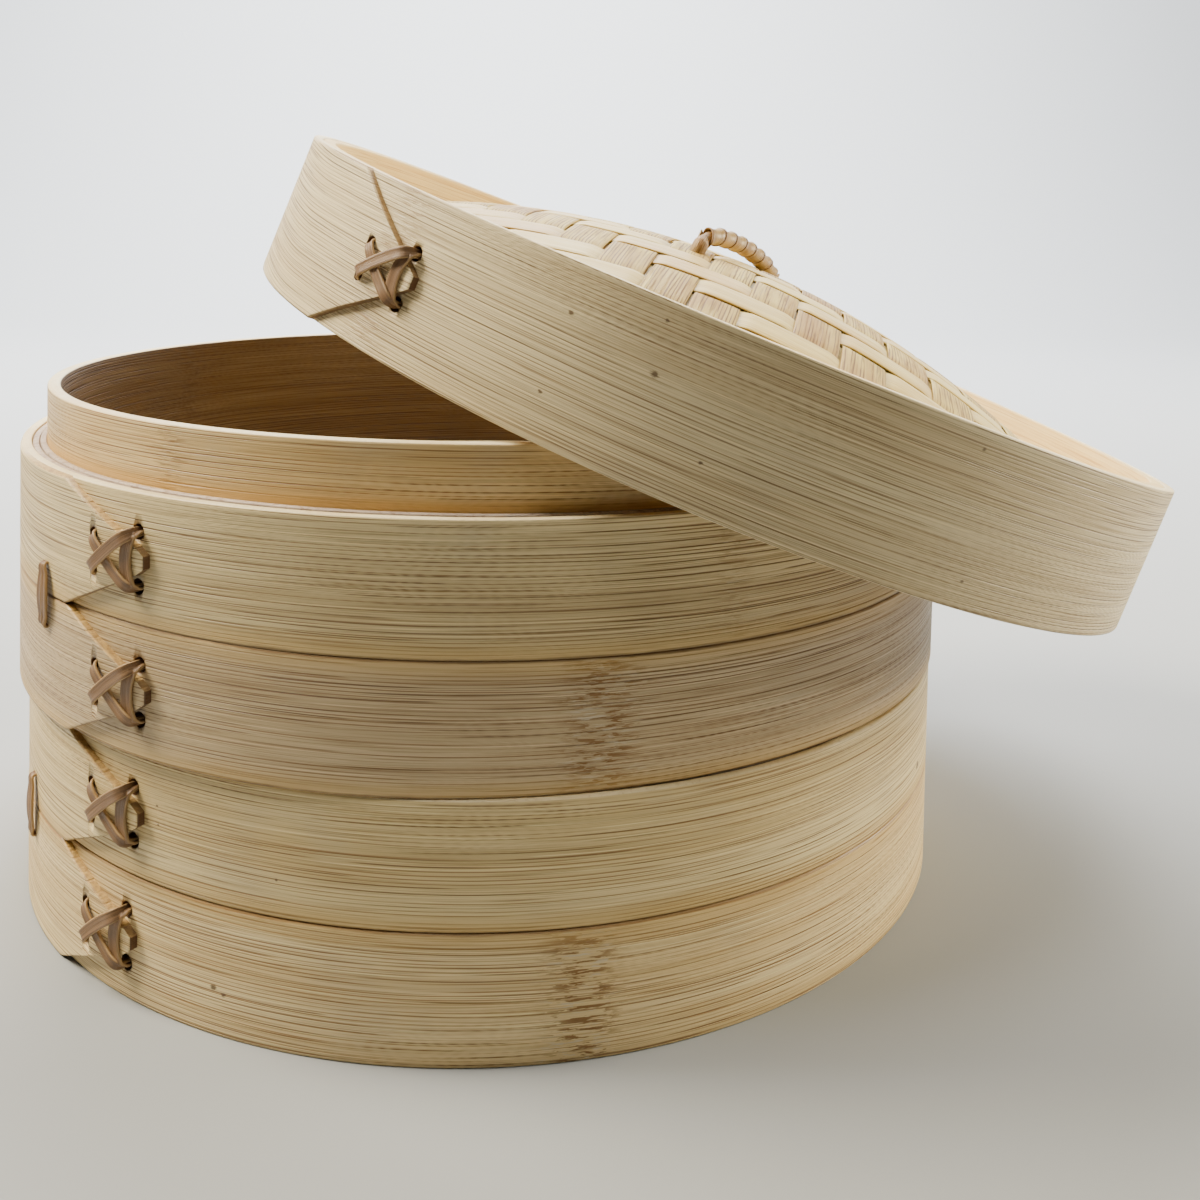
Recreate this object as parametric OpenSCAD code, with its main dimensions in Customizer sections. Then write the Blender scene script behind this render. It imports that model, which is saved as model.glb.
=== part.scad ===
// Two-tier bamboo steamer basket with a woven lid.
// Origin: on the lower tier's axis, in the plane it stands on. +Z is up.
// The lid leans on the upper tier's collar, as it does when it is set down half open.

/* [Tiers] */
// Outer radius of the lower tier
lower_r = 127; // [110:1:145]
// Outer radius of the upper tier, which is a little larger
upper_r = 128.6; // [128:0.2:129.4]
// Height of each of the lower tier's two hoops
lower_hoop_h = 28.3; // [27:0.1:29]
// Height of each of the upper tier's two hoops
upper_hoop_h = 29.1; // [28.5:0.1:30]
// How far the upper tier sits off the lower tier's axis, to the left
upper_shift_x = -0.9; // [-1.5:0.1:1.5]
// How far each wall rises above its hoops, as the collar for the tier above
collar_h = 14.3; // [12:0.1:14.6]
// Depth of the empty skirt below each wall
skirt_h = 15; // [14.8:0.1:17]
// How much the skirt's inside is planed away, so that it slides over a collar
skirt_relief = 0.6; // [0.6:0.1:1]
// Thickness of a bent hoop strip
hoop_t = 2.6; // [2:0.1:3]
// Thickness of the filler ring between the hoops and the wall
filler_t = 3.6; // [3.2:0.1:3.6]
// Thickness of the wall
wall_t = 3.3; // [2.5:0.1:3.5]

/* [Floor] */
// Number of floor slats in a tier
slat_count = 9; // [7:2:11]
// Width of a floor slat
slat_w = 16; // [12:1:18]
// Thickness of a floor slat
slat_t = 2.4; // [2:0.1:3]
// Distance of each cross bar from the tier's axis
bar_offset = 46; // [30:1:60]
// Width of a cross bar
bar_w = 9; // [6:1:12]
// Height of the ring that carries the slats
floor_ring_h = 7; // [6:0.5:8]

/* [Laps and stitches] */
// Height of a hoop's pointed end above the strip that it laps
lap_t = 1.8; // [1.2:0.1:2]
// Half height of the blunt tip of the pointed end
tip_half = 1.4; // [1:0.1:2]
// Length of the slanted edges of the pointed end
point_len = 30; // [24:1:34]
// Radius of a stitch hole
hole_r = 1.5; // [1.4:0.1:1.8]
// Width of a stitch strand
strand_w = 2.6; // [2:0.1:3]
// Thickness of a stitch strand
strand_t = 0.8; // [0.6:0.1:1]

/* [Lid] */
// Outer radius of the lid
lid_r = 129.5; // [128.5:0.1:130]
// Height of the lid's hoop
lid_h = 38.1; // [37:0.1:40]
// Height of the dome's edge above the lid's lower edge
dome_edge_h = 18.1; // [18:0.1:19]
// Rise of the dome above its edge
dome_rise = 32; // [30:0.5:33]
// Width of a woven strip that runs across the dome, with its gap
row_pitch = 11.5; // [11:0.1:13]
// Width of a woven strip of the other direction, with its gap
column_pitch = 12.9; // [12:0.1:14]
// Angle of the woven strips to the lid's lean, in degrees
weave_angle = -12; // [-30:1:30]
// Lean of the lid to the right, in degrees
lid_lean = 21.1; // [21:0.1:21.4]
// Roll of the lid towards the front, in degrees
lid_roll = 1.9; // [1.6:0.1:2]

/* [Handle] */
// Half of the distance between the handle's feet
handle_half = 28; // [24:1:34]
// Height of the handle's centre line above the dome
handle_rise = 4.5; // [4.4:0.1:9]
// Radius of the handle's core
core_r = 1.5; // [1.3:0.1:1.6]
// Outer radius of the strip wound on the core
wrap_r = 2.2; // [2:0.1:2.4]

/* [Hidden] */
$fn = 96;

BAMBOO = [0.84, 0.77, 0.60];
BAMBOO_CUT = [0.93, 0.86, 0.70];
BAMBOO_INNER = [0.86, 0.72, 0.50];
RATTAN = [0.60, 0.46, 0.33];
RATTAN_PALE = [0.82, 0.66, 0.43];

// A tier is described by [outer radius, hoop height, base height, shift in x,
// bottom hoop's tip angle, top hoop's tip angle, seam stitch angle].
LOWER = [lower_r, lower_hoop_h, 0, 0, -127.4, -126.4, -150.8];
UPPER = [upper_r, upper_hoop_h, 2 * lower_hoop_h, upper_shift_x, -124.1, -124.4, -142.3];

clear = 0.15;       // gap under a stitch strand, and beside a loose piece
lap_offset = 7.7;   // the lap's outer face is an arc this far off the tier's axis
seam_reach = 7;     // from a seam to each of its stitch holes
leg_r = 1.1;        // a strand where it goes through a hole
peg_r = 1.5;

function wall_r(tier) = tier[0] - hoop_t - filler_t;
function wall_in_r(tier) = wall_r(tier) - wall_t;
function tier_top(tier) = 2 * tier[1];

module tube(outer, inner, low, high) {
    translate([0, 0, low])
        difference() {
            cylinder(h = high - low, r = outer);
            translate([0, 0, -1]) cylinder(h = high - low + 2, r = inner);
        }
}

// Moves its children from a tier's own frame to the part's frame.
module on_tier(tier) {
    translate([tier[3], 0, tier[2]]) children();
}

// Turns +X to the given angle, then goes out to the radius and up to the height.
module at_wall(angle, radius, height) {
    rotate([0, 0, angle]) translate([radius, 0, height]) children();
}

// A round hole that points away from the axis.
module radial_hole(angle, height, r, from, to) {
    at_wall(angle, from, height) rotate([0, 90, 0]) cylinder(h = to - from, r = r);
}

// ---- hoops with their lapped, pointed ends ----

// Places of the four lacing holes, as [distance along the hoop from the tip, height from mid].
LACING = [[-17, 4], [-17, -4], [-3.6, 6], [-3.6, -6]];

function lacing_angle(tip, r, i) = tip + LACING[i][0] / r * 180 / PI;

// The outline of a hoop's pointed end, seen from outside, with its tip at x = 0.
module pointed_end(h) {
    back = 3 * point_len;
    slope = (h / 2 - 2.2 * tip_half) / (point_len - 2.5);
    high = 2.2 * tip_half + slope * (back - 2.5);
    polygon([
        [0, -tip_half], [0, tip_half], [-2.5, 2.2 * tip_half], [-back, high],
        [-back, -high], [-2.5, -2.2 * tip_half]
    ]);
}

// The end of the strip that lies on top of its own start and thins out behind the tip.
module lap(r, h, tip, low) {
    intersection() {
        difference() {
            rotate([0, 0, tip]) translate([lap_offset, 0, low - 6])
                cylinder(h = h + 12, r = r + lap_t - lap_offset);
            translate([0, 0, low - 7]) cylinder(h = h + 14, r = r - hoop_t / 2);
        }
        at_wall(tip, 0, low + h / 2)
            rotate([90, 0, 90]) linear_extrude(height = r + 2 * lap_t) pointed_end(h);
    }
}

module laced_hoop(r, h, tip, low) {
    difference() {
        intersection() {
            union() {
                tube(r, r - hoop_t, low - 5, low + h + 5);
                lap(r, h, tip, low);
            }
            translate([0, 0, low]) cylinder(h = h, r = r + 10);
        }
        for (i = [0 : 3])
            radial_hole(lacing_angle(tip, r, i), low + h / 2 + LACING[i][1], hole_r,
                r - 2 * hoop_t, r + 2 * lap_t);
    }
}

// One flat strand between two points of the outside, given as [along, up].
module strand(a, b, level) {
    d = b - a;
    translate([level, 0, 0]) rotate([90, 0, 90])
        linear_extrude(height = strand_t)
            translate(a) rotate(atan2(d[1], d[0]))
                translate([-strand_w / 2, -strand_w / 2]) square([norm(d) + strand_w, strand_w]);
}

// A cross and an upright of strip, with a leg down into each of the four holes.
module lacing(r, h, tip, low) {
    mid = tip - 10.5 / r * 180 / PI;
    level = r + lap_t + clear;
    p = [for (q = LACING) [q[0] + 10.5, q[1]]];
    at_wall(mid, 0, low + h / 2) {
        strand(p[0], p[3], level);
        strand(p[1], p[2], level);
        strand(p[2], p[3], level);
    }
    for (i = [0 : 3])
        radial_hole(lacing_angle(tip, r, i), low + h / 2 + LACING[i][1], leg_r,
            r - hoop_t + clear, level + strand_t / 2);
}

// ---- one tier ----

// Both seam stitches of a tier: the one beside the laps, and one opposite.
module seam_holes(tier) {
    for (side = [0, 180], up = [-1, 1])
        radial_hole(tier[6] + side, tier[1] + up * seam_reach, hole_r,
            wall_in_r(tier) - 5, tier[0] + 5);
}

module peg_holes(tier) {
    for (k = [0 : 5])
        radial_hole(k * 60 + 15, skirt_h + floor_ring_h / 2, peg_r, wall_in_r(tier) - 5,
            wall_r(tier) - 0.4);
}

module wall(tier) {
    color(BAMBOO_INNER) on_tier(tier) difference() {
        tube(wall_r(tier), wall_in_r(tier), skirt_h, tier_top(tier) + collar_h);
        seam_holes(tier);
        peg_holes(tier);
    }
}

module filler(tier) {
    color(BAMBOO_CUT) on_tier(tier) difference() {
        tube(tier[0] - hoop_t, wall_r(tier), skirt_h, tier_top(tier));
        seam_holes(tier);
    }
}

module bottom_hoop(tier) {
    color(BAMBOO) on_tier(tier) difference() {
        laced_hoop(tier[0], tier[1], tier[4], 0);
        seam_holes(tier);
        translate([0, 0, -1]) cylinder(h = skirt_h + 1, r = tier[0] - hoop_t + skirt_relief);
    }
}

module top_hoop(tier) {
    color(BAMBOO) on_tier(tier) difference() {
        laced_hoop(tier[0], tier[1], tier[5], tier[1]);
        seam_holes(tier);
    }
}

module bottom_lacing(tier) {
    color(RATTAN) on_tier(tier) lacing(tier[0], tier[1], tier[4], 0);
}

module top_lacing(tier) {
    color(RATTAN) on_tier(tier) lacing(tier[0], tier[1], tier[5], tier[1]);
}

// A loop of strip through both hoops, the filler and the wall.
module seam_stitch(tier, angle, outside) {
    inside = wall_in_r(tier) - clear - strand_t;
    ends = [[0, -seam_reach], [0, seam_reach]];
    at_wall(angle, 0, tier[1]) {
        strand(ends[0], ends[1], outside);
        strand(ends[0], ends[1], inside);
    }
    for (end = ends)
        radial_hole(angle, tier[1] + end[1], leg_r, inside + strand_t / 2,
            outside + strand_t / 2);
}

module seam_stitches(tier) {
    color(RATTAN) on_tier(tier) {
        seam_stitch(tier, tier[6], tier[0] + lap_t);
        seam_stitch(tier, tier[6] + 180, tier[0] + clear);
    }
}

// ---- the slatted floor ----

slat_low = skirt_h + floor_ring_h;
bar_low = slat_low - 4;
top_ring_h = 6;

module bars(tier, widen, low, high) {
    reach = wall_in_r(tier) - 0.3;
    intersection() {
        for (side = [-1, 1])
            translate([-reach, side * bar_offset - bar_w / 2 - widen, low])
                cube([2 * reach, bar_w + 2 * widen, high - low]);
        cylinder(h = 100, r = reach);
    }
}

// The room that the floor leaves for the inner strands of the seam stitches.
module seam_notches(tier) {
    reach = seam_reach + strand_w / 2 + 0.3;
    for (side = [0, 180])
        at_wall(tier[6] + side, wall_in_r(tier) - 2, tier[1])
            translate([0, -strand_w / 2 - 0.3, -reach]) cube([5, strand_w + 0.6, 2 * reach]);
}

module floor_rings(tier) {
    ring_r = wall_in_r(tier);
    color(BAMBOO_INNER) on_tier(tier) difference() {
        union() {
            tube(ring_r, ring_r - wall_t, skirt_h, slat_low);
            tube(ring_r, ring_r - wall_t, slat_low + slat_t, slat_low + slat_t + top_ring_h);
        }
        bars(tier, clear, bar_low, slat_low + 1);
        peg_holes(tier);
        seam_notches(tier);
    }
}

module slats(tier) {
    reach = wall_in_r(tier) - 0.3;
    pitch = 2 * (reach - 14) / slat_count;
    color(BAMBOO) on_tier(tier) difference() {
        intersection() {
            for (i = [0 : slat_count - 1])
                translate([(i - (slat_count - 1) / 2) * pitch - slat_w / 2, -reach, slat_low])
                    cube([slat_w, 2 * reach, slat_t]);
            translate([0, 0, slat_low - 1]) cylinder(h = slat_t + 2, r = reach);
        }
        seam_notches(tier);
    }
}

module cross_bars(tier) {
    color(BAMBOO_CUT) on_tier(tier) bars(tier, 0, bar_low, slat_low);
}

module pegs(tier) {
    color(BAMBOO_CUT) on_tier(tier)
        for (k = [0 : 5])
            radial_hole(k * 60 + 15, skirt_h + floor_ring_h / 2, peg_r,
                wall_in_r(tier) - wall_t, wall_r(tier) - 0.4);
}

// ---- the lid, in its own frame: +Z along its axis, z = 0 at its lower edge ----

lid_pos = [55.6, -5.1, 115.3];
lid_tip = -131.4;
lid_in_r = lid_r - hoop_t;
mat_r = lid_in_r - 0.2;
dome_r = lid_in_r - filler_t - 0.5;
ball_r = (dome_r * dome_r + dome_rise * dome_rise) / (2 * dome_rise);
ball_z = dome_edge_h + dome_rise - ball_r;
mat_t = 0.7;
mat_gap = 0.12;
lining_t = 1.2;
column_depth = mat_t + mat_gap;
lining_depth = 2 * column_depth;
mat_depth = lining_depth + lining_t;
rib_t = 1.6;

// Height of the face that lies the given depth under the dome's outside.
function dome_z(radius, depth) =
    ball_z + sqrt((ball_r - depth) * (ball_r - depth) - radius * radius);

module on_lid() {
    translate(lid_pos) rotate([lid_roll, 0, 0]) rotate([0, lid_lean, 0]) children();
}

// A skin of the dome between two depths, with the flat edge that the rings hold.
module dome_skin(outer_depth, inner_depth) {
    intersection() {
        difference() {
            translate([0, 0, ball_z]) sphere(r = ball_r - outer_depth);
            translate([0, 0, ball_z]) sphere(r = ball_r - inner_depth);
        }
        cylinder(h = 100, r = dome_r);
    }
    tube(mat_r, dome_r - 0.3, dome_z(dome_r, inner_depth), dome_z(dome_r, outer_depth));
}

// Parallel strips that cover the dome, turned to the weave's angle.
module strips(pitch, start, gap) {
    count = ceil(mat_r / pitch) + 1;
    for (i = [-count : count])
        translate([-150, start + i * pitch + gap / 2, 0]) cube([300, pitch - gap, 100]);
}

// The two holes that the handle's feet go through.
module foot_holes(r) {
    for (side = [-1, 1])
        at_handle() translate([side * handle_half, 0, 0]) cylinder(h = 100, r = r);
}

module at_handle() {
    translate([-3, -2, 0]) rotate([0, 0, 55]) children();
}

module lid_hoop() {
    color(BAMBOO) on_lid() laced_hoop(lid_r, lid_h, lid_tip, 0);
}

module lid_rim_ring() {
    color(BAMBOO_INNER) on_lid()
        tube(lid_in_r, lid_in_r - filler_t, dome_edge_h + 0.1, lid_h);
}

module lid_skirt_ring() {
    color(BAMBOO_INNER) on_lid() difference() {
        tube(lid_in_r, lid_in_r - filler_t - 0.1, 6, dome_z(dome_r, mat_depth) - mat_gap);
        lid_peg_holes();
    }
}

module lid_lacing() {
    color(RATTAN) on_lid() lacing(lid_r, lid_h, lid_tip, 0);
}

module lid_weave_rows() {
    color(BAMBOO_CUT) on_lid() difference() {
        intersection() {
            dome_skin(0, mat_t);
            rotate([0, 0, weave_angle]) strips(row_pitch, -1.5, 0.5);
        }
        foot_holes(wrap_r + 0.3);
    }
}

module lid_weave_columns() {
    color(BAMBOO) on_lid() difference() {
        intersection() {
            dome_skin(column_depth, column_depth + mat_t);
            rotate([0, 0, weave_angle + 90]) strips(column_pitch, -4.1, 0.5);
        }
        foot_holes(wrap_r + 0.3);
    }
}

module lid_lining() {
    color(BAMBOO_INNER) on_lid() difference() {
        dome_skin(lining_depth, mat_depth);
        foot_holes(wrap_r + 0.3);
    }
}

// Two thin laths under the dome, one below the other where they cross.
module lid_ribs() {
    color(BAMBOO_CUT) on_lid()
        for (k = [0, 1])
            intersection() {
                translate([0, 0, ball_z]) difference() {
                    sphere(r = ball_r - mat_depth - mat_gap - k * (rib_t + mat_gap));
                    sphere(r = ball_r - mat_depth - (k + 1) * (rib_t + mat_gap));
                }
                cylinder(h = 100, r = dome_r - 0.8);
                rotate([0, 0, 10 + 90 * k]) translate([-150, -6, 8]) cube([300, 12, 100]);
            }
}

// The handle's line: up through the dome, over, and down, as a round rod or a tube.
module handle_rod(r, from_z) {
    bend = 7;
    top = dome_edge_h + dome_rise + handle_rise;
    at_handle() {
        translate([0, 0, top]) rotate([0, 90, 0])
            cylinder(h = 2 * (handle_half - bend), r = r, center = true);
        for (side = [-1, 1]) {
            translate([side * handle_half, 0, from_z]) cylinder(h = top - bend - from_z, r = r);
            translate([side * (handle_half - bend), 0, top - bend])
                rotate([90, 0, 0]) rotate([0, 0, side > 0 ? 0 : 90])
                    rotate_extrude(angle = 90) translate([bend, 0]) circle(r = r);
        }
    }
}

module lid_handle_core() {
    color(RATTAN_PALE) on_lid() handle_rod(core_r, dome_edge_h + dome_rise - 8.5);
}

module lid_handle_wrap() {
    color(RATTAN_PALE) on_lid() difference() {
        handle_rod(wrap_r, dome_edge_h + dome_rise - 4.5);
        handle_rod(core_r, 0);
    }
}

module lid_peg_holes() {
    for (k = [0 : 5])
        radial_hole(k * 60 + 40, 9.5, peg_r, lid_in_r - filler_t - 1, lid_in_r);
}

module lid_pegs() {
    color(BAMBOO_CUT) on_lid()
        for (k = [0 : 5])
            radial_hole(k * 60 + 40, 9.5, peg_r, lid_in_r - filler_t - 0.1, lid_in_r);
}

wall(LOWER);  // lower_wall
filler(LOWER);  // lower_filler
bottom_hoop(LOWER);  // lower_bottom_hoop
top_hoop(LOWER);  // lower_top_hoop
bottom_lacing(LOWER);  // lower_bottom_lacing
top_lacing(LOWER);  // lower_top_lacing
seam_stitches(LOWER);  // lower_seam_stitches
floor_rings(LOWER);  // lower_floor_rings
slats(LOWER);  // lower_slats
cross_bars(LOWER);  // lower_cross_bars
pegs(LOWER);  // lower_pegs
wall(UPPER);  // upper_wall
filler(UPPER);  // upper_filler
bottom_hoop(UPPER);  // upper_bottom_hoop
top_hoop(UPPER);  // upper_top_hoop
bottom_lacing(UPPER);  // upper_bottom_lacing
top_lacing(UPPER);  // upper_top_lacing
seam_stitches(UPPER);  // upper_seam_stitches
floor_rings(UPPER);  // upper_floor_rings
slats(UPPER);  // upper_slats
cross_bars(UPPER);  // upper_cross_bars
pegs(UPPER);  // upper_pegs
lid_hoop();
lid_rim_ring();
lid_skirt_ring();
lid_lacing();
lid_weave_rows();
lid_weave_columns();
lid_lining();
lid_ribs();
lid_handle_core();
lid_handle_wrap();
lid_pegs();
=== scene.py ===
import math

import bpy
import numpy as np
from mathutils import Matrix, Vector


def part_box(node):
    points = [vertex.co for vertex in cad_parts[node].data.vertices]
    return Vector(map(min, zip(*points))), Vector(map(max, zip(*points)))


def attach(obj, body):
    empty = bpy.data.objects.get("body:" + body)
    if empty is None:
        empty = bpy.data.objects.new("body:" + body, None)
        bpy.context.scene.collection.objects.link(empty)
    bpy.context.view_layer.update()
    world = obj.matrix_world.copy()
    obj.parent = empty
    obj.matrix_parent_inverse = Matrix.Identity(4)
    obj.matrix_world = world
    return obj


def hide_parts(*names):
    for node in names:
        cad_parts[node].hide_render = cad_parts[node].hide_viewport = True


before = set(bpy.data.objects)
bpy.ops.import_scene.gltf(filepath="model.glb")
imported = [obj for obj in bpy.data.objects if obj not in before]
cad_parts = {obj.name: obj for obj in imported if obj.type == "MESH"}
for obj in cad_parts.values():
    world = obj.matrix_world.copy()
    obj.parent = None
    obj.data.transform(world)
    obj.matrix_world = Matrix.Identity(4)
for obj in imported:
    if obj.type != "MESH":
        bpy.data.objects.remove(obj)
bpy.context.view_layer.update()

# Lengths are in millimetres until a mesh is made. Angles about a tier's or the lid's axis are in degrees.
MM = 0.001
HOOP_T = 2.6
FILLER_T = 3.6
WALL_T = 3.3
LAP_T = 1.8
LAP_OFFSET = 7.7
TIP_HALF = 1.4
POINT_LEN = 30.0
HOLE_R = 1.8
LAP_HOLE_R = 1.4
SEAM_REACH = 7.0
SKIRT_H = 15.0
LACING = [(-17, 4), (-17, -4), (-3.6, 6), (-3.6, -6)]

LID_R = 129.5
LID_H = 38.1
LID_TIP = -131.4
LID_POS = (55.6, -5.1, 115.3)
LID_LEAN = 21.1
LID_ROLL = 1.9
DOME_EDGE_H = 18.1
DOME_RISE = 32.0
DOME_R = LID_R - HOOP_T - FILLER_T - 0.5
BALL_R = (DOME_R ** 2 + DOME_RISE ** 2) / (2 * DOME_RISE)
BALL_Z = DOME_EDGE_H + DOME_RISE - BALL_R
ROW_PITCH = 11.5
COLUMN_PITCH = 12.9
WEAVE_ANGLE = -12.0
ROWS_FROM = -36.0
COLUMNS_FROM = 4.1
NOMINAL_R = 127.0
LAP_LEN = 86
BULGE_AT = -70
BULGE_WIDTH = 62
CUTTER_SIDES = 20
BAR_POINTS = 50


def smooth_step(t):
    t = np.clip(t, 0.0, 1.0)
    return t * t * (3 - 2 * t)


def ripple(theta, seed, size, waves=(2, 3, 5, 9)):
    """A slow uneven wave round a ring: a sum of whole waves, so that it closes."""
    draw = np.random.default_rng(seed)
    total = np.zeros_like(theta)
    for n in waves:
        total += draw.uniform(0.4, 1) / n ** 0.7 * np.sin(n * theta + draw.uniform(0, 6.28))
    return size * total / 1.5


# ---- frames ----

lid_turn = Matrix.Rotation(math.radians(LID_ROLL), 4, "X") @ Matrix.Rotation(math.radians(LID_LEAN), 4, "Y")
lid_frame = Matrix.Translation(Vector(LID_POS) * MM) @ lid_turn


def tier_frame(tier):
    return Matrix.Translation(Vector((tier["x"], 0, tier["z"])) * MM)


def measure_tier(name, tips, seam):
    """A tier's sizes, from the boxes of its CAD nodes."""
    low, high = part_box(name + "_top_hoop")
    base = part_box(name + "_bottom_hoop")[0].z
    radius = high.y / MM
    return {
        "name": name,
        "body": name + "_tier",
        "r": radius,
        "x": high.x / MM - radius,
        "z": base / MM,
        "hoop_h": (high.z - low.z) / MM,
        "collar_top": (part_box(name + "_wall")[1].z - base) / MM,
        "tips": tips,
        "seam": seam,
    }


TIERS = [
    measure_tier("lower", (-127.4, -126.4), -150.8),
    measure_tier("upper", (-124.1, -124.4), -142.3),
]


# ---- mesh building ----

def add_piece(name, points, faces, material, body, place, replaces=(), grain=None, tone=None):
    """Makes a mesh from points in mm in the frame `place`, and ties it to its body."""
    at = np.asarray(points, float).reshape(-1, 3) * MM
    turn = np.array(place.to_3x3())
    at = at @ turn.T + np.array(place.translation)
    mesh = bpy.data.meshes.new(name)
    mesh.from_pydata(at.tolist(), [], [list(map(int, f)) for f in faces])
    mesh.polygons.foreach_set("use_smooth", [True] * len(mesh.polygons))
    if grain is not None:
        layer = mesh.attributes.new("grain", "FLOAT_VECTOR", "POINT")
        layer.data.foreach_set("vector", np.asarray(grain, float).reshape(-1))
    if tone is not None:
        layer = mesh.attributes.new("tone", "FLOAT", "POINT")
        layer.data.foreach_set("value", np.asarray(tone, float).reshape(-1))
    mesh.materials.append(material)
    mesh.update()
    piece = bpy.data.objects.new(name, mesh)
    bpy.context.scene.collection.objects.link(piece)
    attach(piece, body)
    if replaces:
        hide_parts(*replaces)
    return piece


def grid_faces(rows, columns, wrap_rows=False, wrap_columns=False, start=0):
    i = np.arange(rows if wrap_rows else rows - 1)
    j = np.arange(columns if wrap_columns else columns - 1)
    a, b = np.meshgrid(i, j, indexing="ij")
    c, d = (a + 1) % rows, (b + 1) % columns
    quads = np.stack([a * columns + b, c * columns + b, c * columns + d, a * columns + d], -1)
    return (quads.reshape(-1, 4) + start).tolist()


def tube_faces(rows, columns, start=0):
    """Faces of a closed tube with flat ends: rows along it, columns round it."""
    faces = grid_faces(rows, columns, wrap_columns=True, start=start)
    faces.append([start + k for k in range(columns)])
    faces.append([start + (rows - 1) * columns + k for k in range(columns)][::-1])
    return faces


def unit(vectors):
    return vectors / np.linalg.norm(vectors, axis=1)[:, None]


def run_length(path):
    """Distance along the path to each of its points."""
    return np.concatenate([[0], np.cumsum(np.linalg.norm(np.diff(path, axis=0), axis=1))])


def grain_of(run, offsets, number):
    """Grain coordinates of a strip's points: along it, across it and the strip's number."""
    lines = [np.stack([run, np.full(len(run), across), np.full(len(run), float(number))], -1)
             for across in offsets]
    return np.stack(lines, 1).reshape(-1, 3)


def band_profile(inner, outer, low, high, edge=0.45, outer_steps=7):
    """The closed outline (radius, height) of a bent strip with worn edges."""
    turn = [math.radians(a) for a in (0, 30, 60, 90)]
    points = []
    for centre_r, centre_z, first in (
        (outer - edge, low + edge, -90),
        (outer - edge, high - edge, 0),
        (inner + edge, high - edge, 90),
        (inner + edge, low + edge, 180),
    ):
        start = math.radians(first)
        points += [(centre_r + edge * math.cos(start + t), centre_z + edge * math.sin(start + t))
                   for t in turn]
        if first == -90:
            span = np.linspace(low + 2 * edge, high - 2 * edge, outer_steps)
            points += [(outer, z) for z in span]
        if first == 90:
            span = np.linspace(high - 2 * edge, low + 2 * edge, 4)
            points += [(inner, z) for z in span]
    return np.array(points)


def band(name, profile, seed, material, body, place, replaces, steps, wave, edge_wave, reshape=None):
    """A closed bent strip: the outline carried round the axis, a little out of true."""
    theta = np.linspace(0, 2 * math.pi, steps, endpoint=False)
    r = profile[None, :, 0] + ripple(theta, seed, wave)[:, None]
    z = np.repeat(profile[None, :, 1], steps, 0)
    low, high = profile[:, 1].min(), profile[:, 1].max()
    up = (profile[:, 1] - low) / (high - low)
    fine = ripple(theta, seed + 1, edge_wave, (4, 7, 13, 23, 41))
    fine_low = ripple(theta, seed + 2, edge_wave, (5, 8, 11, 29, 37))
    z = z + fine[:, None] * up ** 4 + fine_low[:, None] * (1 - up) ** 4
    if reshape:
        r = r + reshape(theta[:, None], up[None, :])
    points = np.stack([r * np.cos(theta)[:, None], r * np.sin(theta)[:, None], z], -1)
    faces = grid_faces(steps, len(profile), True, True)
    return add_piece(name, points, faces, material, body, place, replaces)


def cut_holes(piece, holes, place):
    """Cuts round holes that point at the axis. Each hole is (angle, height, radius, from, to)."""
    points, faces = [], []
    for angle, height, radius, start, end in holes:
        a = math.radians(angle)
        out = np.array([math.cos(a), math.sin(a), 0])
        side = np.array([-math.sin(a), math.cos(a), 0])
        first = len(points)
        for reach in (start, end):
            for k in range(CUTTER_SIDES):
                t = 2 * math.pi * k / CUTTER_SIDES
                up = np.array([0, 0, height + radius * math.sin(t)])
                points.append(out * reach + side * radius * math.cos(t) + up)
        for k in range(CUTTER_SIDES):
            n = (k + 1) % CUTTER_SIDES
            faces.append([first + k, first + n, first + CUTTER_SIDES + n, first + CUTTER_SIDES + k])
        faces.append([first + k for k in range(CUTTER_SIDES)][::-1])
        faces.append([first + CUTTER_SIDES + k for k in range(CUTTER_SIDES)])
    at = np.array(points) * MM @ np.array(place.to_3x3()).T + np.array(place.translation)
    mesh = bpy.data.meshes.new("cutter")
    mesh.from_pydata(at.tolist(), [], faces)
    cutter = bpy.data.objects.new("cutter", mesh)
    bpy.context.scene.collection.objects.link(cutter)
    step = piece.modifiers.new("holes", "BOOLEAN")
    step.object = cutter
    step.operation = "DIFFERENCE"
    step.solver = "EXACT"
    bpy.context.view_layer.update()
    made = bpy.data.meshes.new_from_object(piece.evaluated_get(bpy.context.evaluated_depsgraph_get()))
    piece.modifiers.clear()
    piece.data = made
    bpy.data.objects.remove(cutter)


def lap_radius(r, back):
    """Radius of the lap's outer face, `back` degrees behind the tip."""
    a = math.radians(back)
    ring = r + LAP_T - LAP_OFFSET
    return LAP_OFFSET * math.cos(a) + math.sqrt(ring ** 2 - (LAP_OFFSET * math.sin(a)) ** 2)


def half_height(s, h):
    """Half height of the pointed end, s mm behind its tip."""
    if s < 2.5:
        return TIP_HALF * (1 + 1.2 * s / 2.5)
    shoulder = 2.2 * TIP_HALF
    return min(shoulder + (h / 2 - shoulder) * (s - 2.5) / (POINT_LEN - 2.5), h / 2 - 0.05)


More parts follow.
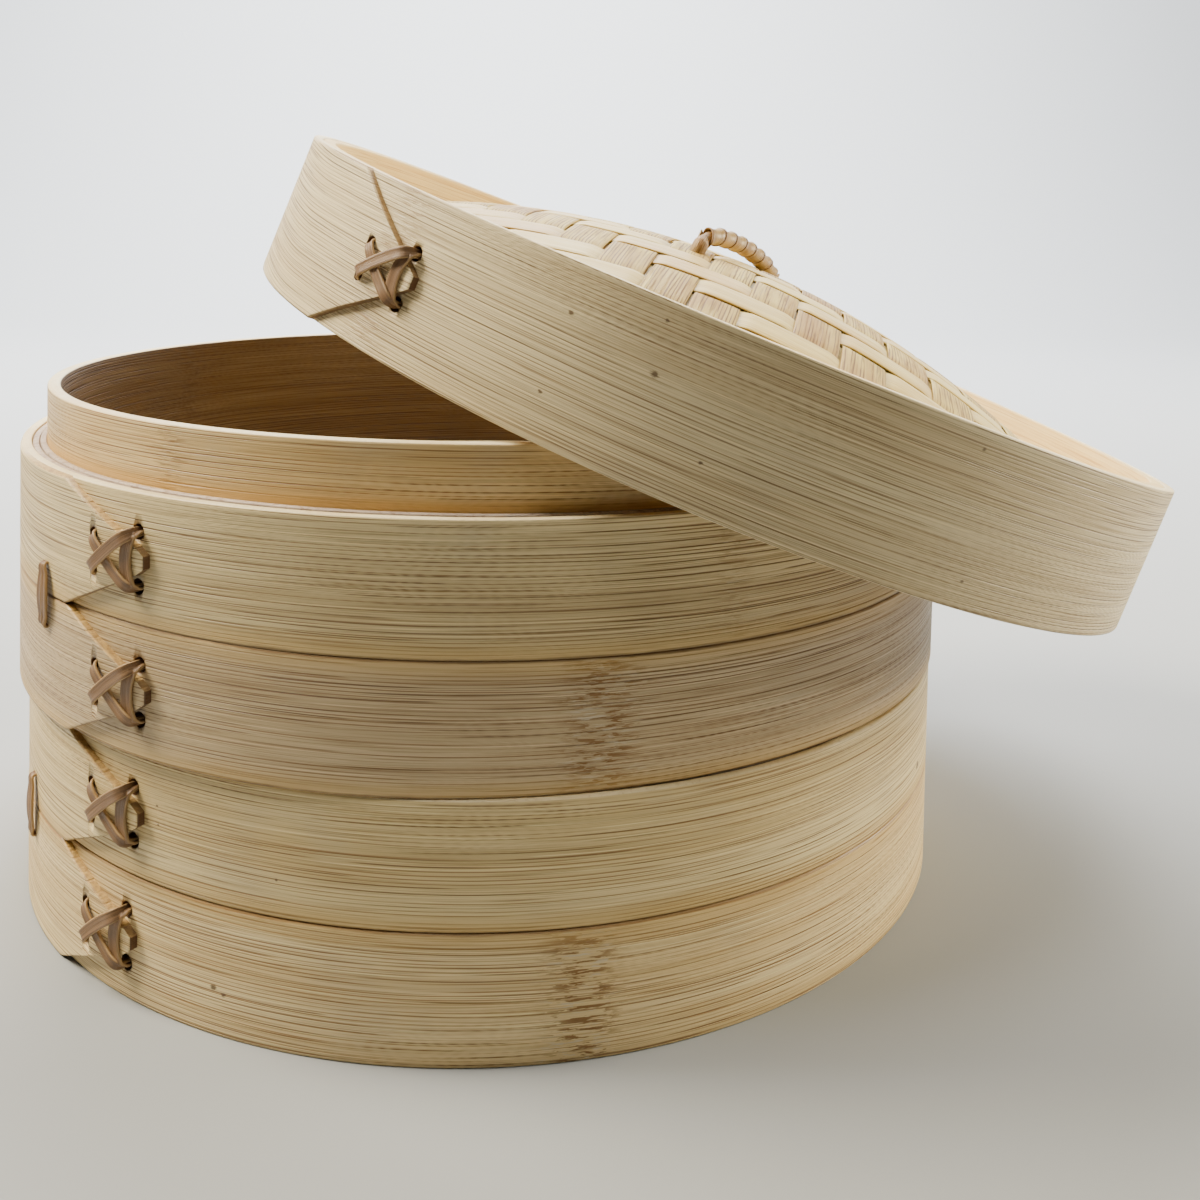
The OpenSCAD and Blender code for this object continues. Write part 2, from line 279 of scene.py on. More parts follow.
def lap_piece(name, r, h, tip, mid, material, body, place, node):
    """The pointed end of a hoop's strip, lying on the strip's own start."""
    along = np.concatenate([[0, 0.35], np.linspace(1.2, 2.5, 3), np.linspace(3.5, POINT_LEN, 34),
                            np.linspace(POINT_LEN + 3, LAP_LEN, 20)])
    across = [-1, -0.98, -0.95, -0.5, -0.2, 0.2, 0.5, 0.95, 0.98, 1]
    points, drift = [], []
    ruffle = ripple(along / 14, 400 + int(abs(tip) * 10), 0.16, (3, 7, 11))
    for s, ruff in zip(along, ruffle):
        a = math.radians(tip) - s / r
        outer = lap_radius(r, math.degrees(s / r))
        half = half_height(s, h) + (ruff if 3 < s < POINT_LEN - 2 else 0)
        row = []
        for v in across:
            worn = 0.35 if abs(v) == 1 else 0.0
            row.append((outer - worn - (0.3 if s == 0 else 0), v * half))
        row += [(r - 0.6, half), (r - 0.6, -half)]
        points += [(q * math.cos(a), q * math.sin(a), mid + z) for q, z in row]
        fade = float(1 - smooth_step((s - 45) / 35))
        drift += [fade] * len(row)
    columns = len(across) + 2
    faces = tube_faces(len(along), columns)
    piece = add_piece(name, points, faces, material, body, place, (node,), tone=drift)
    for k, polygon in enumerate(piece.data.polygons):
        polygon.use_smooth = k < (len(along) - 1) * columns and 0 < k % columns < len(across) - 2
    return piece


def hoop(name, r, h, tip, low, seed, material, body, place, seams=(), reshape=None, edge=0.5):
    """One bent hoop with its pointed end and its stitch holes."""
    profile = band_profile(r - HOOP_T, r, low, low + h, edge, 9)
    ring = band(name + "_strip", profile, seed, material, body, place, (name,), 900, 0.12, 0.1, reshape)
    lap = lap_piece(name + "_lap", r, h, tip, low + h / 2, material, body, place, name)
    reach = (r - 3 * HOOP_T, r + 6)
    laced = [(tip + math.degrees(along / r), low + h / 2 + up) for along, up in LACING]
    cut_holes(ring, [(angle, up, HOLE_R, *reach) for angle, up in laced + list(seams)], place)
    cut_holes(lap, [(angle, up, LAP_HOLE_R, *reach) for angle, up in laced], place)
    return ring


# ---- materials ----

OPEN_GRAIN = (0.50, 0.43, 0.30)
KNUCKLE_DARK = (0.24, 0.115, 0.03)
KNUCKLE_PALE = (0.66, 0.58, 0.42)
SPECK = (0.09, 0.04, 0.015)
PAINTED_HOLE_SHADE = (0.10, 0.045, 0.015)
END_CUT_AND_SHADE = (0.12, 0.055, 0.018)
SEAM_EDGE = (0.60, 0.38, 0.11)
PAINTED_INSIDE_SHADE = (0.27, 0.25, 0.29)
ROUND = (0.02, 0.02, 2.4)


class Finish:
    """A material's node tree, with short names for the nodes that this scene uses."""

    def __init__(self, name, roughness):
        self.material = bpy.data.materials.new(name)
        self.material.use_nodes = True
        self.tree = self.material.node_tree
        self.shader = self.tree.nodes["Principled BSDF"]
        self.shader.inputs["Roughness"].default_value = roughness

    def node(self, kind, **settings):
        made = self.tree.nodes.new(kind)
        for key, value in settings.items():
            setattr(made, key, value)
        return made

    def put(self, socket, value):
        if isinstance(value, bpy.types.NodeSocket):
            self.tree.links.new(value, socket)
        else:
            socket.default_value = value

    def math(self, operation, a, b=0.0, clamp=False):
        made = self.node("ShaderNodeMath", operation=operation, use_clamp=clamp)
        self.put(made.inputs[0], a)
        self.put(made.inputs[1], b)
        return made.outputs[0]

    def plus(self, a, b):
        return self.math("ADD", a, b)

    def minus(self, a, b):
        return self.math("SUBTRACT", a, b)

    def times(self, a, b):
        return self.math("MULTIPLY", a, b)

    def scaled(self, at, by):
        return self.vector("MULTIPLY", at, by)

    def vector(self, operation, a, b=(0, 0, 0)):
        made = self.node("ShaderNodeVectorMath", operation=operation)
        self.put(made.inputs[0], a)
        self.put(made.inputs[1], b)
        return made.outputs["Value" if operation in ("DOT_PRODUCT", "LENGTH") else "Vector"]

    def noise(self, at, scale=1.0, detail=2.0, rough=0.5, distort=0.0):
        made = self.node("ShaderNodeTexNoise")
        self.put(made.inputs["Vector"], at)
        made.inputs["Scale"].default_value = scale
        made.inputs["Detail"].default_value = detail
        made.inputs["Roughness"].default_value = rough
        made.inputs["Distortion"].default_value = distort
        return made.outputs["Fac"]

    def step(self, value, low, high, to_low=0.0, to_high=1.0):
        made = self.node("ShaderNodeMapRange", interpolation_type="SMOOTHSTEP")
        self.put(made.inputs["Value"], value)
        made.inputs["From Min"].default_value = low
        made.inputs["From Max"].default_value = high
        made.inputs["To Min"].default_value = to_low
        made.inputs["To Max"].default_value = to_high
        return made.outputs["Result"]

    def mix(self, amount, a, b, blend="MIX"):
        made = self.node("ShaderNodeMix", data_type="RGBA", blend_type=blend)
        self.put(made.inputs[0], amount)
        self.put(made.inputs[6], a if isinstance(a, bpy.types.NodeSocket) else (*a, 1))
        self.put(made.inputs[7], b if isinstance(b, bpy.types.NodeSocket) else (*b, 1))
        return made.outputs[2]

    def split(self, vector):
        made = self.node("ShaderNodeSeparateXYZ")
        self.put(made.inputs[0], vector)
        return made.outputs

    def fibre_lines(self, across, slow_at, width, low, high):
        """Thin lines, one for each whole number of `across`. Each fades in and out by itself."""
        number = self.math("FLOOR", across)
        off_middle = self.math("ABSOLUTE", self.minus(self.math("FRACT", across), 0.5))
        apart = self.node("ShaderNodeCombineXYZ")
        self.put(apart.inputs["Z"], self.times(number, 3.7))
        own = self.noise(self.vector("ADD", slow_at, apart.outputs[0]), 1.0, 2, 0.6)
        return self.times(self.step(off_middle, width, width * 0.3), self.step(own, low, high))

    def finish(self, colour, rough, height, distance):
        self.put(self.shader.inputs["Base Color"], colour)
        self.put(self.shader.inputs["Roughness"], rough)
        bump = self.node("ShaderNodeBump")
        bump.inputs["Strength"].default_value = 1.0
        bump.inputs["Distance"].default_value = distance * MM
        self.put(bump.inputs["Height"], height)
        self.put(self.shader.inputs["Normal"], bump.outputs["Normal"])
        return self.material


def local_mm(finish, place):
    """Object coordinates in mm in a piece's own frame, and the normal's three parts in it."""
    coords = finish.node("ShaderNodeTexCoord")
    mapping = finish.node("ShaderNodeMapping", vector_type="TEXTURE")
    mapping.inputs["Location"].default_value = place.translation
    mapping.inputs["Rotation"].default_value = place.to_3x3().to_euler("XYZ")
    finish.put(mapping.inputs["Vector"], coords.outputs["Object"])
    facing = [finish.vector("DOT_PRODUCT", coords.outputs["Normal"], axis)
              for axis in place.to_3x3().transposed()]
    return finish.vector("MULTIPLY", mapping.outputs["Vector"], (1 / MM, 1 / MM, 1 / MM)), facing


def hoop_finish(name, place, seed, pale, deep, line, knuckles, spots=(), line_amount=1.0, edges=(),
                joint_tint_and_inside_shade=None, hoop_h=None):
    """Split bamboo bent into a hoop: long thin fibres, rippled planing marks, knuckles and specks.

    Knuckles are (angle, width, strength) and spots are (angle, height, size). The wood is darker along the
    heights in `edges`: an orange-brown band, with a dark line of painted shade in the seam itself. The walls
    of holes away from the rims of a hoop hoop_h high are painted near-black, as painted shade in the holes.
    joint_tint_and_inside_shade is (height, colour, outer radius): the wood is tinted where it comes out of a
    joint at that height, and its inner side is painted darker, as painted shade inside the tier."""
    f = Finish(name, 0.5)
    at, (facing_x, facing_y, facing_up) = local_mm(f, place)
    loose_end = f.node("ShaderNodeAttribute", attribute_name="tone").outputs["Fac"]
    lift = f.node("ShaderNodeCombineXYZ")
    f.put(lift.inputs["Z"], f.times(loose_end, 1.4))
    x, y, z = f.split(at)
    angle = f.math("ARCTAN2", y, x)
    moved = f.vector("ADD", f.vector("ADD", at, lift.outputs[0]), (seed * 31.7, seed * 17.3, seed * 5.9))
    moved_z = f.split(moved)[2]
    ring_r = f.vector("LENGTH", f.scaled(at, (1, 1, 0)))

    def along(slow, fast, detail=2, rough=0.5, shift=0.0):
        """Noise that is slow round the hoop and fast across it."""
        start = f.vector("ADD", moved, (shift, -shift, shift))
        return f.noise(f.scaled(start, (slow, slow, fast)), 1.0, detail, rough)

    def fibres(pitch, width, low, high, shift):
        """Thin lines round the hoop, about `pitch` mm apart, that wander a little."""
        waver = f.times(along(0.004, 0.03, 3, 0.6, shift), 3.0 / pitch)
        across = f.plus(f.times(moved_z, 1 / pitch), waver)
        slow_at = f.scaled(f.vector("ADD", moved, (shift, shift, 0)), (0.016, 0.016, 0))
        return f.fibre_lines(across, slow_at, width, low, high)

    broad = along(0.006, 0.09, 3, 0.55)
    bands = along(0.007, 0.4, 3, 0.6, 7)
    hair = along(0.03, 5.0, 2, 0.6, 13)
    cloud = f.noise(moved, 0.03, 3, 0.6)
    speckle = f.noise(f.scaled(moved, (1.3, 1.3, 5.0)), 1.0, 2, 0.6)
    shiver = along(0.03, 0.28, 3, 0.6, 57)
    wave = f.math("SINE", f.plus(f.times(angle, 232.0), f.times(shiver, 40.0)))
    patch = f.step(along(0.010, 0.03, 2, 0.5, 83), 0.44, 0.6)
    planed = f.times(patch, f.plus(f.times(wave, 0.5), 0.5))
    colour = f.mix(f.step(broad, 0.36, 0.64), pale, deep)
    colour = f.mix(f.step(bands, 0.5, 0.68, 0, 0.6), colour, [c * 0.84 for c in deep])
    colour = f.mix(f.step(bands, 0.44, 0.3, 0, 0.5), colour, [min(1, c * 1.08) for c in pale])
    colour = f.mix(f.step(cloud, 0.5, 0.75, 0, 0.3), colour, OPEN_GRAIN)
    colour = f.mix(f.times(planed, 0.11), colour, [c * 0.72 for c in deep])
    unbroken = f.minus(1.0, f.times(f.times(patch, 0.48), f.minus(1.0, planed)))
    lines = f.times(fibres(1.45, 0.13, 0.47, 0.56, 19), unbroken)
    fainter = f.times(fibres(0.85, 0.2, 0.36, 0.6, 43), unbroken)
    colour = f.mix(f.times(fibres(1.3, 0.14, 0.5, 0.58, 71), 0.6), colour, [min(1, c * 1.25) for c in pale])
    colour = f.mix(f.times(fainter, 0.85 * line_amount), colour, [c * 1.15 for c in line])
    colour = f.mix(f.times(lines, 0.95 * line_amount), colour, [c * 0.85 for c in line])
    colour = f.mix(f.step(hair, 0.5, 0.68, 0, 0.5), colour, [c * 0.9 for c in line])
    height = f.plus(f.times(lines, -0.9), f.times(hair, -0.5))
    height = f.plus(height, f.times(fainter, -0.5))
    height = f.plus(height, f.times(planed, 0.3))
    height = f.plus(height, f.times(speckle, 0.2))
    for knuckle_angle, width, strength in knuckles:
        jitter = f.noise(f.scaled(moved, (0, 0, 0.35)), 1.0, 3, 0.7)
        offset = f.minus(angle, math.radians(knuckle_angle))
        gap = f.plus(f.times(offset, NOMINAL_R), f.times(f.minus(jitter, 0.5), 16.0))
        near = f.step(f.math("ABSOLUTE", gap), width, width * 0.15)
        burst = f.noise(f.scaled(moved, (0.15, 0.15, 1.3)), 1.0, 3, 0.65, 0.3)
        dashes = f.step(burst, 0.525, 0.57)
        pale_dashes = f.step(burst, 0.43, 0.36)
        colour = f.mix(f.times(near, 0.3 * strength), colour, [c * 0.72 for c in deep])
        dark = f.times(f.times(near, dashes), 0.95 * strength)
        colour = f.mix(dark, colour, KNUCKLE_DARK)
        light = f.times(f.times(near, pale_dashes), 0.6 * strength)
        colour = f.mix(light, colour, KNUCKLE_PALE)
        height = f.plus(height, f.times(f.times(near, burst), 3.0 * strength))
    for spot_angle, spot_z, size in spots:
        across = f.times(f.minus(angle, math.radians(spot_angle)), NOMINAL_R * 0.7)
        up = f.minus(z, spot_z)
        away = f.math("SQRT", f.plus(f.times(across, across), f.times(up, up)))
        ragged = f.plus(away, f.times(f.minus(speckle, 0.5), 1.3 * size))
        colour = f.mix(f.step(ragged, size, size * 0.3, 0, 0.85), colour, SPECK)
    if joint_tint_and_inside_shade:
        tint_z, tint, outer_r = joint_tint_and_inside_shade
        near_joint = f.step(f.math("ABSOLUTE", f.minus(z, tint_z)), 2.6, 0.2, 0, 0.7)
        near_joint = f.times(near_joint, f.step(ring_r, outer_r - 2.2, outer_r - 1.0))
        colour = f.mix(near_joint, colour, tint)
        # The inner side of the wall is painted darker and cooler: painted shade inside the tier.
        shaded_inside_colour = f.mix(1.0, colour, PAINTED_INSIDE_SHADE, "MULTIPLY")
        colour = f.mix(f.step(ring_r, outer_r - 1.0, outer_r - 2.2), colour, shaded_inside_colour)
    cut = f.step(f.math("ABSOLUTE", facing_up), 0.5, 0.8)
    cut_grain = f.noise(f.scaled(moved, (0.04, 0.04, 0.04)), 1.0, 2)
    cut_lines = f.noise(f.scaled(moved, (0.9, 0.9, 0.9)), 1.0, 3, 0.7)
    layered = f.math("SINE", f.times(ring_r, 5.2))
    cut_colour = f.mix(f.step(cut_grain, 0.35, 0.65), (0.90, 0.78, 0.50), (0.80, 0.64, 0.36))
    cut_colour = f.mix(f.step(cut_lines, 0.5, 0.7, 0, 0.35), cut_colour, (0.52, 0.34, 0.14))
    cut_colour = f.mix(f.step(layered, 0.3, 1.0, 0, 0.25), cut_colour, (0.93, 0.84, 0.60))
    rough_cut_and_underside_shade = f.mix(f.step(cut_lines, 0.4, 0.6), (0.50, 0.31, 0.09), (0.30, 0.16, 0.04))
    # Cut faces of the pointed end that face down are painted dark brown: painted shade along its lower edge.
    rough_cut_and_underside_shade = f.mix(f.step(facing_up, -0.4, -0.8), rough_cut_and_underside_shade, (0.13, 0.06, 0.02))
    cut_colour = f.mix(f.times(loose_end, 0.85), cut_colour, rough_cut_and_underside_shade)
    if hoop_h:
        # Cut faces away from the rims are the walls of the stitch holes; they are painted near-black as
        # painted shade in the holes.
        off_rim = f.math("PINGPONG", z, hoop_h / 2)
        hole_shade = f.times(f.step(off_rim, 1.5, 2.5), f.minus(1.0, loose_end))
        cut_colour = f.mix(hole_shade, cut_colour, PAINTED_HOLE_SHADE)
    colour = f.mix(cut, colour, cut_colour)
    seam_wobble = f.times(f.minus(along(0.05, 0.3, 3, 0.7, 97), 0.5), 1.2)
    # Along each seam the wood gets an orange-brown band of its own colour, and a dark line in the seam itself
    # that is painted shade.
    for edge in edges:
        off_edge = f.plus(f.math("ABSOLUTE", f.minus(z, edge)), seam_wobble)
        colour = f.mix(f.step(off_edge, 5.5, 0.5, 0, 0.5), colour, SEAM_EDGE)
        colour = f.mix(f.step(off_edge, 0.7, 0.2, 0, 0.7), colour, [c * 0.75 for c in line])
    # Faces turned along the hoop, the pointed end's tip and the sides of holes, are painted near-black:
    # partly the darker end cut, partly painted shade.
    turned = f.minus(f.times(x, facing_y), f.times(y, facing_x))
    end_on = f.math("ABSOLUTE", f.math("DIVIDE", turned, ring_r))
    colour = f.mix(f.step(end_on, 0.35, 0.7), colour, END_CUT_AND_SHADE)
    return f.finish(colour, f.step(hair, 0.3, 0.7, 0.42, 0.64), height, 0.13)


def strip_finish(name, place, pale, deep, line, scale, bump=0.12, seed=0, rough=(0.45, 0.65), lines=0.7):
    """A plain bamboo strip. `scale` multiplies mm coordinates: small along its fibres, large across them."""
    f = Finish(name, 0.5)
    at, _ = local_mm(f, place)
    at = f.vector("ADD", at, (seed * 11.3, seed * 7.9, seed * 5.1))
    wide = f.noise(f.scaled(at, [s * 0.22 for s in scale]), 1.0, 3, 0.6)
    fine = f.noise(f.scaled(at, scale), 1.0, 4, 0.65)
    cloud = f.noise(at, 0.03, 3, 0.6)
    colour = f.mix(f.step(wide, 0.35, 0.65), pale, deep)
    colour = f.mix(f.step(fine, 0.5, 0.66, 0, lines), colour, line)
    colour = f.mix(f.step(cloud, 0.5, 0.75, 0, 0.3), colour, [c * 0.8 for c in deep])
    return f.finish(colour, f.step(fine, 0.3, 0.7, *rough), f.times(fine, -1.0), bump)


def woven_finish(name, pale, deep, line, across_scale, lines, bump, brown=(0.56, 0.36, 0.20), rough=0.45,
                 edge=None):
    """A strip with its own `grain` coordinate (along, across, strip number) in mm.

    edge is (distance from the strip's middle, colour) of its borders."""
    f = Finish(name, 0.5)
    grain = f.node("ShaderNodeAttribute", attribute_name="grain").outputs["Vector"]
    tone = f.node("ShaderNodeAttribute", attribute_name="tone").outputs["Fac"]
    fine = f.noise(f.scaled(grain, (0.05, across_scale, 9.1)), 1.0, 4, 0.7, 0.2)
    wide = f.noise(f.scaled(grain, (0.03, 0.35, 5.3)), 1.0, 3, 0.6)
    slow = f.noise(f.scaled(grain, (0.035, 0.05, 3.7)), 1.0, 2, 0.5)
    colour = f.mix(f.step(wide, 0.35, 0.65), pale, deep)
    colour = f.mix(f.times(f.step(slow, 0.4, 0.6), f.times(tone, 0.8)), colour, brown)
    colour = f.mix(f.step(fine, 0.54, 0.68, 0, lines * 0.6), colour, line)
    _, sideways, strip = f.split(grain)
    slow_at = f.scaled(grain, (0.03, 0, 9.1))
    waver = f.times(wide, 1.6)
    across = f.plus(f.plus(f.times(sideways, across_scale), waver), f.times(strip, 0.37))
    stripes = f.fibre_lines(across, slow_at, 0.26, 0.38, 0.56)
    colour = f.mix(f.times(stripes, lines * 0.9), colour, line)
    if edge:
        off_middle = f.math("ABSOLUTE", sideways)
        colour = f.mix(f.step(off_middle, edge[0] * 0.75, edge[0], 0, 0.7), colour, edge[1])
    return f.finish(colour, f.step(fine, 0.3, 0.7, rough - 0.08, rough + 0.14), f.times(fine, -1.0), bump)


lower_place, upper_place = (tier_frame(t) for t in TIERS)
hoop_looks = {
    "lower_bottom_hoop": hoop_finish(
        "Bamboo hoop 4", lower_place, 1, (0.88, 0.70, 0.38), (0.76, 0.56, 0.26), (0.30, 0.14, 0.035),
        [(-80.9, 12, 1.0)], [(-117.2, 10.4, 0.8), (-116.0, 9.3, 0.6)], 1.0, (TIERS[0]["hoop_h"],),
        hoop_h=TIERS[0]["hoop_h"]),
    "lower_top_hoop": hoop_finish(
        "Bamboo hoop 3", lower_place, 2, (0.84, 0.68, 0.36), (0.71, 0.54, 0.25), (0.28, 0.14, 0.04),
        [], [(-124.6, 46.1, 0.4), (-124.4, 42.0, 0.35), (-110.3, 36.6, 0.35), (-29.0, 34.6, 1.3)], 1.0,
        (TIERS[0]["hoop_h"],), hoop_h=TIERS[0]["hoop_h"]),
    "upper_bottom_hoop": hoop_finish(
        "Bamboo hoop 2", upper_place, 3, (0.69, 0.54, 0.32), (0.53, 0.39, 0.21), (0.20, 0.095, 0.03),
        [(-79.2, 12, 1.0)], [], 1.0, (0, TIERS[1]["hoop_h"]), hoop_h=TIERS[1]["hoop_h"]),
    "upper_top_hoop": hoop_finish(
        "Bamboo hoop 1", upper_place, 4, (0.76, 0.61, 0.32), (0.60, 0.46, 0.23), (0.22, 0.11, 0.03),
        [(-65.8, 7, 0.35)], [], 1.0, (TIERS[1]["hoop_h"],), hoop_h=TIERS[1]["hoop_h"]),
    "lid_hoop": hoop_finish(
        "Bamboo lid hoop", lid_frame, 5, (0.78, 0.65, 0.38), (0.65, 0.51, 0.28), (0.24, 0.135, 0.05),
        [(-136.0, 9, 0.5)],
        [(-114.5, 10.2, 0.5), (-105.3, 23.0, 0.9), (-114.6, 27.7, 0.6), (-98.6, 10.2, 0.5),
         (-74.1, 33.8, 0.5), (-70.5, 6.1, 0.5), (-106.1, 34.0, 0.5)], 0.85, hoop_h=LID_H),
}
wall_looks = [
    hoop_finish(f"Bamboo wall {k}", place, 6 + k, (0.76, 0.57, 0.27), (0.63, 0.43, 0.17), (0.30, 0.14, 0.03),
                [(-125.0, 6, 0.6), (148.8, 5, 0.4)], line_amount=1.1,
                joint_tint_and_inside_shade=(2 * tier["hoop_h"] + 0.5, (0.70, 0.43, 0.12), tier["r"] - HOOP_T - FILLER_T))
    for k, (place, tier) in enumerate(zip((lower_place, upper_place), TIERS))]
filler_looks = [
    strip_finish(f"Bamboo filler {k}", place, (0.56, 0.45, 0.35), (0.44, 0.35, 0.29), (0.28, 0.18, 0.11),
                 (0.5, 0.5, 1.5), seed=k + 8)
    for k, place in enumerate((lower_place, upper_place))]
ring_look = strip_finish(
    "Bamboo lid ring", lid_frame, (0.86, 0.66, 0.30), (0.76, 0.53, 0.20),
    (0.47, 0.24, 0.06), ROUND, seed=14)
slat_look = strip_finish(
    "Bamboo slat", lower_place, (0.80, 0.60, 0.28), (0.67, 0.45, 0.17), (0.42, 0.22, 0.06),
    (1.6, 0.03, 1.6), seed=17)
bar_look = strip_finish(
    "Bamboo bar", lower_place, (0.80, 0.58, 0.27), (0.65, 0.43, 0.17), (0.42, 0.22, 0.06),
    (0.03, 1.6, 1.6), seed=19)
peg_look = strip_finish(
    "Bamboo peg", lower_place, (0.80, 0.60, 0.28), (0.66, 0.45, 0.18), (0.40, 0.22, 0.06),
    (1.4, 1.4, 1.4), seed=23)
# The rattan's borders are painted paler: a painted highlight on its raised edges.
rattan_look = woven_finish(
    "Steamed rattan", (0.27, 0.15, 0.065), (0.18, 0.095, 0.04), (0.06, 0.028, 0.01), 2.6, 0.7, 0.14,
    (0.22, 0.115, 0.045), 0.42, (2.0, (0.50, 0.33, 0.15)))
core_look = woven_finish(
    "Handle core", (0.40, 0.26, 0.09), (0.25, 0.14, 0.04), (0.12, 0.05, 0.015), 1.6, 0.9, 0.25)
pale_rattan_look = woven_finish(
    "Pale rattan", (0.40, 0.26, 0.075), (0.26, 0.15, 0.035), (0.11, 0.05, 0.01), 2.2, 0.6, 0.12,
    (0.40, 0.19, 0.05), 0.4,
    (2.0, (0.17, 0.08, 0.02)))
row_look = woven_finish(
    "Smooth woven strip", (0.78, 0.62, 0.24), (0.66, 0.49, 0.16), (0.40, 0.25, 0.06), 0.9, 0.35, 0.08,
    (0.66, 0.44, 0.17), 0.36)
column_look = woven_finish(
    "Grained woven strip", (0.66, 0.51, 0.15), (0.48, 0.33, 0.08), (0.13, 0.055, 0.01), 1.15, 1.0, 0.3,
    (0.34, 0.17, 0.05), 0.5)
lining_look = strip_finish(
    "Bamboo lining", lid_frame, (0.40, 0.26, 0.11), (0.29, 0.17, 0.07), (0.14, 0.07, 0.02),
    (1.4, 0.05, 0.05), seed=29)


# ---- tiers ----

def front_gap(theta, middle, width):
    """1 at the given angle, falling smoothly to 0 at `width` degrees on both sides."""
    away = np.abs((theta - math.radians(middle) + math.pi) % (2 * math.pi) - math.pi)
    return 1 - smooth_step(away / math.radians(width))


def build_tier(tier, number):
    name, r, h, place, body = tier["name"], tier["r"], tier["hoop_h"], tier_frame(tier), tier["body"]
    seam_angles = (tier["seam"], tier["seam"] + 180)
    low_seams = [(a, h - SEAM_REACH) for a in seam_angles]
    top_seams = [(a, h + SEAM_REACH) for a in seam_angles]
    squeeze = (lambda t, up: -2.2 * front_gap(t, BULGE_AT, BULGE_WIDTH) * (1 - up) ** 1.5) if number else None
    swell = None if number else (lambda t, up: 1.3 * front_gap(t, BULGE_AT, BULGE_WIDTH) * up ** 1.5)
    seed = 100 * (number + 1)
    hoop(name + "_bottom_hoop", r, h, tier["tips"][0], 0, seed, hoop_looks[name + "_bottom_hoop"], body,
         place, low_seams, squeeze)
    hoop(name + "_top_hoop", r, h, tier["tips"][1], h, seed + 10, hoop_looks[name + "_top_hoop"], body,
         place, top_seams, swell, 0.5 if number else 0.9)
    wall_r = r - HOOP_T - FILLER_T
    wall = band_profile(wall_r - WALL_T, wall_r, SKIRT_H, tier["collar_top"], 0.5)
    band(name + "_wall_strip", wall, seed + 20, wall_looks[number], body, place,
         (name + "_wall",), 720, 0.12, 0.12)
    half = FILLER_T / 2
    outer = band_profile(r - HOOP_T - half + 0.12, r - HOOP_T - 0.05, SKIRT_H, 2 * h - 0.5, 0.35, 3)
    band(name + "_filler_outer", outer, seed + 30, filler_looks[number], body, place,
         (name + "_filler",), 720, 0.05, 0.2)
    inner = band_profile(wall_r + 0.05, r - HOOP_T - half - 0.12, SKIRT_H, 2 * h - 0.1, 0.35, 3)
    band(name + "_filler_inner", inner, seed + 40, filler_looks[number], body, place,
         (name + "_filler",), 720, 0.05, 0.25)


for number, tier in enumerate(TIERS):
    build_tier(tier, number)


# ---- lacings ----

def smooth_path(points, count):
    """A Catmull-Rom curve through the points."""
    p = np.array(points, float)
    p = np.vstack([2 * p[0] - p[1], p, 2 * p[-1] - p[-2]])
    pieces = []
    spans = len(p) - 3
    for k in range(spans):
        t = np.linspace(0, 1, count // spans, endpoint=False)[:, None]
        a, b, c, d = p[k:k + 4]
        pieces.append(0.5 * (2 * b + (c - a) * t + (2 * a - 5 * b + 4 * c - d) * t ** 2
                             + (3 * b - a - 3 * c + d) * t ** 3))
    return np.vstack(pieces + [p[-2:-1]])


def ribbon(path, up, width, thick, number, raised=0.18):
    """A flat strip along a path, with raised edges. Returns points, faces and grain."""
    path = np.asarray(path)
    along = unit(np.gradient(path, axis=0))
    up = np.broadcast_to(np.asarray(up, float), path.shape)
    side = unit(np.cross(along, up))
    face = np.cross(side, along)
    across = np.array([-1, -0.86, -0.55, 0, 0.55, 0.86, 1])
    ridges = raised * np.array([0.2, 1, 0.25, 0, 0.25, 1, 0.2])
    top = thick / 2 + ridges - np.array([0.12, 0, 0, 0, 0, 0, 0.12])
    outline = list(zip(across, top)) + [(a, -thick / 2) for a in (0.95, 0, -0.95)]
    width = np.broadcast_to(np.asarray(width, float), (len(path),))
    points = np.stack([path + side * (a * width / 2)[:, None] + face * t for a, t in outline], 1)
    grain = grain_of(run_length(path), [a * 2.0 for a, _ in outline], number)
    faces = [face[::-1] for face in tube_faces(len(path), len(outline))]
    return points.reshape(-1, 3), faces, grain


def join(parts):
    """Joins (points, faces, grain, tone) parts into one."""
    points, faces, grain, tone = [], [], [], []
    start = 0
    for p, f, g, t in parts:
        points.append(p)
        faces += [[k + start for k in face] for face in f]
        grain.append(g)
        tone.append(np.full(len(p), t))
        start += len(p)
    return np.vstack(points), faces, np.vstack(grain), np.concatenate(tone)


def on_hoop(r, tip, mid, along, up, out):
    a = math.radians(tip) + along / r
    return ((r + out) * math.cos(a), (r + out) * math.sin(a), mid + up)


